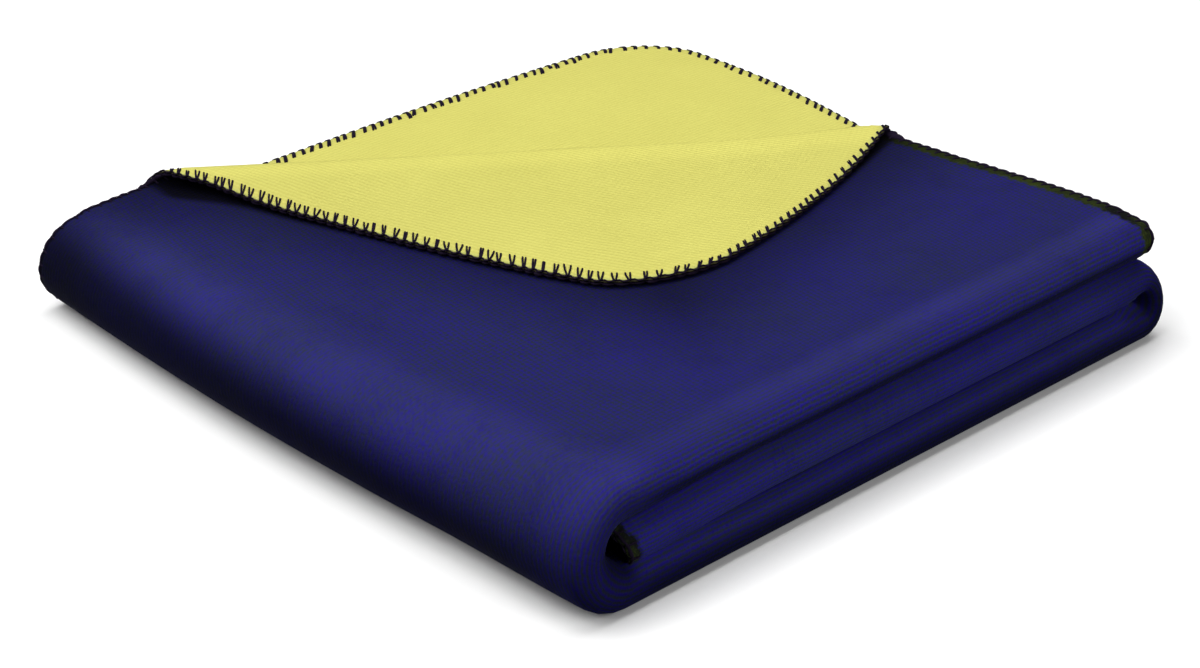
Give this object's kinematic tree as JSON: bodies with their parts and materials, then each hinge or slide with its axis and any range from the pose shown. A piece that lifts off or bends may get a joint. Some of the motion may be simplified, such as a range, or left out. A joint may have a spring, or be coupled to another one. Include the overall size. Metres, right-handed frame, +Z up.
{
  "type": "folded blanket",
  "caption": "Thick double-faced brushed blanket with a stitched edge, folded into a flat stack with one corner turned back.",
  "frame": {"origin": "on the floor, under the middle of the folded blanket's box", "axes": "+X along the folded stack from the wide loop towards the tight bend, +Y back from the crease of the fold in half towards the stitched long edges, +Z up"},
  "size_m": [0.7346, 0.7054, 0.1161],
  "materials": {
    "cloth": "brushed, navy on one face and yellow on the other",
    "edging": "matt yarn, very dark purple"
  },
  "bodies": {
    "root": {"cloth": "cloth", "edging": "edging"}
  },
  "joints": []
}
